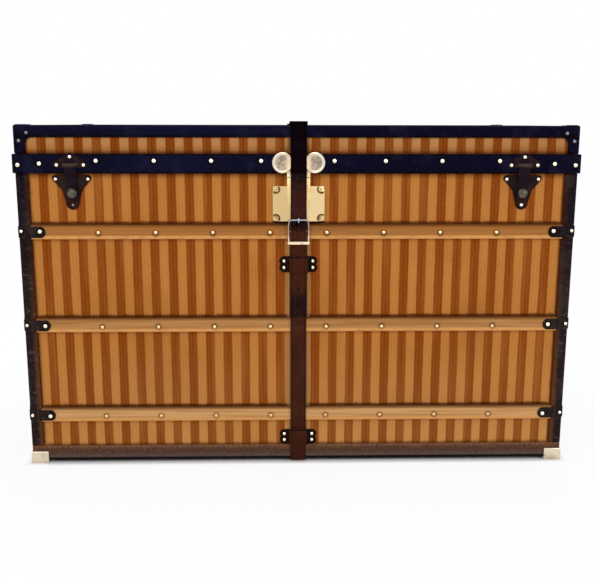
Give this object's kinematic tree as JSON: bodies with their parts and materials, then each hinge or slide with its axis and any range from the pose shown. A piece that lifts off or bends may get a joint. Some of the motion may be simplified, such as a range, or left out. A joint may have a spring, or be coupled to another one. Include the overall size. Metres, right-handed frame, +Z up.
{
  "type": "travelling trunk",
  "caption": "Flat-topped canvas-covered travelling trunk with wooden slats, leather bindings, hinged lid, lock, side clasps, end handles and a buckled strap.",
  "frame": {"origin": "on the floor under the middle of the trunk", "axes": "+Z up, -Y towards the lock's face, +X towards the right end seen from the front"},
  "size_m": [1.114, 0.6282, 0.6886],
  "materials": {
    "carcase_wood": "plain softwood boards",
    "striped_canvas": "coated canvas with upright stripes, worn",
    "slat_wood": "varnished slats, worn",
    "binding_leather": "dark brown, glazed, worn at the edges",
    "band_leather": "blue-black, glazed, worn at the edges",
    "bottom_leather": "dark brown, dry and scuffed",
    "strap_leather": "dark red-brown, creased",
    "brass": "aged, satin",
    "pale_brass": "aged, pale, satin",
    "dark_iron": "dark brown japanned iron, worn",
    "steel": "dull"
  },
  "bodies": {
    "body": {"body_front_board": "carcase_wood", "body_back_board": "carcase_wood", "body_left_board": "carcase_wood", "body_right_board": "carcase_wood", "body_bottom_board": "carcase_wood", "body_canvas": "striped_canvas", "front_left_corner_binding": "binding_leather", "front_left_corner_shoe": "pale_brass", "front_right_corner_binding": "binding_leather", "front_right_corner_shoe": "pale_brass", "front_bottom_runner": "slat_wood", "back_left_corner_binding": "binding_leather", "back_left_corner_shoe": "pale_brass", "back_right_corner_binding": "binding_leather", "back_right_corner_shoe": "pale_brass", "back_bottom_runner": "slat_wood", "bottom_binding": "bottom_leather", "front_slat_low": "slat_wood", "front_slat_middle": "slat_wood", "front_slat_high": "slat_wood", "back_slat_low": "slat_wood", "back_slat_middle": "slat_wood", "back_slat_high": "slat_wood", "left_slat_low": "slat_wood", "left_slat_middle": "slat_wood", "left_slat_high": "slat_wood", "right_slat_low": "slat_wood", "right_slat_middle": "slat_wood", "right_slat_high": "slat_wood", "left_clasp_body_plate": "dark_iron", "left_handle_mount": "dark_iron", "left_hinge_body_leaf": "dark_iron", "right_clasp_body_plate": "dark_iron", "right_handle_mount": "dark_iron", "right_hinge_body_leaf": "dark_iron", "lock_case": "brass", "strap_lower": "strap_leather", "buckle_frame": "brass", "strap_keeper_upper": "strap_leather", "strap_keeper_lower": "strap_leather"},
    "lid": {"lid_frame": "carcase_wood", "lid_top_board": "carcase_wood", "lid_canvas": "striped_canvas", "lid_top_binding": "band_leather", "lid_rim_band": "band_leather", "strap_upper": "strap_leather", "strap_keeper_top": "strap_leather", "lock_hinge_leaf": "pale_brass", "left_clasp_lid_plate": "dark_iron", "left_hinge_lid_leaf": "dark_iron", "right_clasp_lid_plate": "dark_iron", "right_hinge_lid_leaf": "dark_iron"},
    "lock_hasp": {"lock_hasp": "brass"},
    "left_clasp_hasp": {"left_clasp_hasp": "dark_iron"},
    "right_clasp_hasp": {"right_clasp_hasp": "dark_iron"},
    "lock_bolt": {"lock_bolt": "steel"},
    "left_handle": {"left_handle_grip": "binding_leather"},
    "right_handle": {"right_handle_grip": "binding_leather"},
    "buckle_prong": {"buckle_prong": "brass"},
    "strap_tail": {"strap_tail": "strap_leather"}
  },
  "joints": [
    {"name": "lid_hinge", "type": "hinge", "parent": "body", "child": "lid", "pos_m": [0, 0.306, 0.5895], "axis": [-1, 0, 0], "range_deg": [0, 100], "deforming": ["strap_tail"]},
    {"name": "lock_hasp_hinge", "type": "hinge", "parent": "lid", "child": "lock_hasp", "pos_m": [0, -0.3018, 0.5845], "axis": [-1, 0, 0], "range_deg": [0, 120]},
    {"name": "strap_tail_hinge", "type": "hinge", "parent": "lid", "child": "strap_tail", "pos_m": [0, -0.3061, 0.589], "axis": [-1, 0, 0], "range_deg": [0, 165], "deforming": ["strap_tail"]},
    {"name": "lock_bolt_slide", "type": "slide", "parent": "body", "child": "lock_bolt", "axis": [1, 0, 0], "range_m": [0, 0.026]},
    {"name": "buckle_prong_hinge", "type": "hinge", "parent": "body", "child": "buckle_prong", "pos_m": [0, -0.3036, 0.478], "axis": [1, 0, 0], "range_deg": [0, 110]},
    {"name": "left_clasp_hinge", "type": "hinge", "parent": "lid", "child": "left_clasp_hasp", "pos_m": [-0.436, -0.3036, 0.6065], "axis": [-1, 0, 0], "range_deg": [0, 120]},
    {"name": "left_handle_swing", "type": "hinge", "parent": "body", "child": "left_handle", "pos_m": [-0.55, 0, 0.4035], "axis": [0, 1, 0], "range_deg": [0, 100]},
    {"name": "right_clasp_hinge", "type": "hinge", "parent": "lid", "child": "right_clasp_hasp", "pos_m": [0.436, -0.3036, 0.6065], "axis": [-1, 0, 0], "range_deg": [0, 120]},
    {"name": "right_handle_swing", "type": "hinge", "parent": "body", "child": "right_handle", "pos_m": [0.55, 0, 0.4035], "axis": [0, -1, 0], "range_deg": [0, 100]}
  ],
  "couplings": [
    {"joint": "strap_tail_hinge", "follows": "lid_hinge", "ratio": 1.6}
  ]
}
